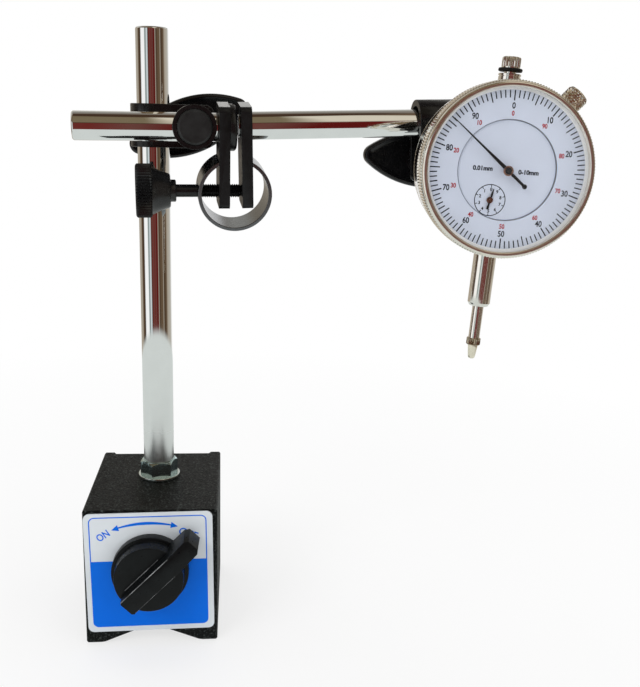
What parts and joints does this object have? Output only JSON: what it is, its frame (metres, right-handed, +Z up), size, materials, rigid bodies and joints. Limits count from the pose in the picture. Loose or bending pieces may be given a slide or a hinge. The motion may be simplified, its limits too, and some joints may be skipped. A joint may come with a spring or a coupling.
{
  "type": "dial indicator with magnetic stand",
  "caption": "Plunger dial indicator on a switchable magnetic base, with a post, a two-rod cross arm, a fine adjuster and swivel clamps.",
  "frame": {"origin": "centre of the base's underside, in the plane of the vee groove's mouth", "axes": "+Z up along the post, +Y from the dial's face to the back, +X along the arm towards the indicator"},
  "size_m": [0.1749, 0.0862, 0.2295],
  "materials": {
    "wrinkle_paint": "wrinkle",
    "brass": "satin",
    "label": "satin",
    "steel": "satin",
    "black_plastic": "satin",
    "magnet": "rough",
    "chrome_rod": "polished",
    "zinc": "zinc plated",
    "black_steel": "satin",
    "black_cast": "satin",
    "satin_chrome": "satin",
    "crystal": "clear",
    "dial_print": "matte",
    "rubber": "matte",
    "black_hand": "black, gloss"
  },
  "bodies": {
    "base": {"pole_left": "wrinkle_paint", "pole_right": "wrinkle_paint", "spacer_top": "brass", "spacer_bottom": "brass", "label_plate": "label", "rear_cover": "steel", "rear_screws": "steel"},
    "switch": {"switch_knob": "black_plastic", "switch_shaft": "steel", "rotor_magnet": "magnet", "rotor_cheeks": "steel"},
    "post": {"post": "chrome_rod", "post_washer": "zinc", "post_nut": "zinc"},
    "post_clamp": {"post_clip": "black_steel"},
    "arm_holder": {"post_sleeve": "black_steel", "post_eye_bolt": "black_steel", "post_wing_washer": "black_steel"},
    "post_wing": {"post_wing_nut": "black_cast"},
    "arm_left": {"rod_left": "chrome_rod", "leg_left": "black_steel", "rod_screw": "black_steel", "spring_band": "black_steel"},
    "fine_screw": {"thumb_screw": "black_steel", "thumb_knob": "black_plastic"},
    "arm_right": {"leg_right": "black_steel", "rod_right": "chrome_rod"},
    "gauge_clamp": {"gauge_clip": "black_steel"},
    "stub_holder": {"gauge_sleeve": "black_steel", "gauge_eye_bolt": "black_steel", "gauge_wing_washer": "black_steel"},
    "gauge_wing": {"gauge_wing_nut": "black_cast"},
    "stub": {"mounting_stub": "black_steel", "lug_screw": "black_steel"},
    "indicator": {"housing": "satin_chrome", "back_cover": "satin_chrome", "cover_screws": "steel", "stem": "satin_chrome", "top_collar": "satin_chrome", "dial_centre": "dial_print", "front_plate": "brass", "back_plate": "brass", "pillars": "brass", "hairspring": "steel", "return_spring": "steel"},
    "bezel_lock": {"lock_screw": "satin_chrome"},
    "bezel_ring": {"bezel": "satin_chrome", "crystal": "crystal", "dial_ring": "dial_print"},
    "plunger": {"spindle": "steel", "guide_pin": "steel", "contact_point": "steel", "buffer_ring": "rubber", "cap": "satin_chrome"},
    "pointer": {"centre_pinion": "steel", "main_pointer": "black_hand"},
    "counter": {"rack_gear": "brass", "counter_hand": "black_hand"},
    "take_up": {"take_up_gear": "brass"}
  },
  "joints": [
    {"name": "switch_turn", "type": "hinge", "parent": "base", "child": "switch", "pos_m": [0, -0.03, 0.0317], "axis": [0, -1, 0], "range_deg": [0, 90]},
    {"name": "post_turn", "type": "hinge", "parent": "base", "child": "post", "pos_m": [0.0006, 0.0038, 0.055], "axis": [0, 0, 1], "range_deg": [-180, 180]},
    {"name": "clip_slide", "type": "slide", "parent": "post", "child": "post_clamp", "axis": [0, 0, 1], "range_m": [-0.095, 0.026]},
    {"name": "arm_tilt", "type": "hinge", "parent": "post_clamp", "child": "arm_holder", "pos_m": [0.01639, -0.015, 0.1948], "axis": [0.1013, -0.9949, 0], "range_deg": [-10, 60]},
    {"name": "post_wing_turn", "type": "hinge", "parent": "arm_holder", "child": "post_wing", "pos_m": [0.01333, 0.01505, 0.1948], "axis": [-0.1013, 0.9949, 0], "range_deg": [-180, 180]},
    {"name": "arm_slide", "type": "slide", "parent": "arm_holder", "child": "arm_left", "axis": [0.9948, 0.1013, 0.0131], "range_m": [0, 0.03]},
    {"name": "fine_adjust", "type": "hinge", "parent": "arm_left", "child": "arm_right", "pos_m": [0.03044, -0.00722, 0.15919], "axis": [-0.102, 0.9795, 0.1736], "range_deg": [0, 3], "deforming": ["spring_band"]},
    {"name": "fine_screw_turn", "type": "hinge", "parent": "arm_left", "child": "fine_screw", "pos_m": [0.0305, -0.00955, 0.17234], "axis": [0.9948, 0.1013, 0.0131], "range_deg": [0, 307]},
    {"name": "gauge_clip_turn", "type": "hinge", "parent": "arm_right", "child": "gauge_clamp", "pos_m": [0.1051, -0.00644, 0.19865], "axis": [0.9945, 0.0961, 0.0423], "range_deg": [-90, 90]},
    {"name": "stub_holder_turn", "type": "hinge", "parent": "gauge_clamp", "child": "stub_holder", "pos_m": [0.10691, -0.01902, 0.18466], "axis": [-0.0962, 0.9954, 0.0001], "range_deg": [-60, 60]},
    {"name": "gauge_wing_turn", "type": "hinge", "parent": "stub_holder", "child": "gauge_wing", "pos_m": [0.10483, 0.00248, 0.18466], "axis": [-0.0962, 0.9954, 0.0001], "range_deg": [-180, 180]},
    {"name": "stub_turn", "type": "hinge", "parent": "stub_holder", "child": "stub", "pos_m": [0.10691, -0.01902, 0.18466], "axis": [0.9931, 0.096, -0.0674], "range_deg": [-6, 6]},
    {"name": "indicator_swivel", "type": "hinge", "parent": "stub", "child": "indicator", "pos_m": [0.12201, -0.01756, 0.18363], "axis": [0.0671, 0.0063, 0.9977], "range_deg": [0, 30]},
    {"name": "bezel_lock_turn", "type": "hinge", "parent": "indicator", "child": "bezel_lock", "pos_m": [0.14076, -0.04469, 0.20529], "axis": [0.6879, -0.0329, 0.7251], "range_deg": [0, 360]},
    {"name": "bezel_turn", "type": "hinge", "parent": "indicator", "child": "bezel_ring", "pos_m": [0.12, -0.0517, 0.18399], "axis": [-0.0586, -0.9982, 0.0103], "continuous": true},
    {"name": "spindle_slide", "type": "slide", "parent": "indicator", "child": "plunger", "axis": [0.0671, 0.0063, 0.9977], "range_m": [0, 0.01], "stiffness_N_per_m": 40, "springref_m": -0.02, "deforming": ["return_spring"]},
    {"name": "pointer_turn", "type": "hinge", "parent": "indicator", "child": "pointer", "pos_m": [0.12, -0.0517, 0.18399], "axis": [0.0586, 0.9982, -0.0103], "range_deg": [0, 3601]},
    {"name": "counter_turn", "type": "hinge", "parent": "indicator", "child": "counter", "pos_m": [0.11504, -0.05151, 0.17423], "axis": [-0.0586, -0.9982, 0.0103], "range_deg": [0, 361]},
    {"name": "take_up_turn", "type": "hinge", "parent": "indicator", "child": "take_up", "pos_m": [0.12496, -0.05189, 0.19374], "axis": [-0.0586, -0.9982, 0.0103], "range_deg": [0, 361], "deforming": ["hairspring"]}
  ],
  "couplings": [
    {"joint": "fine_screw_turn", "follows": "fine_adjust", "ratio": 102.1},
    {"joint": "pointer_turn", "follows": "spindle_slide", "rad_per_m": 6283.2},
    {"joint": "counter_turn", "follows": "spindle_slide", "rad_per_m": 628.32},
    {"joint": "take_up_turn", "follows": "spindle_slide", "rad_per_m": 628.32}
  ]
}
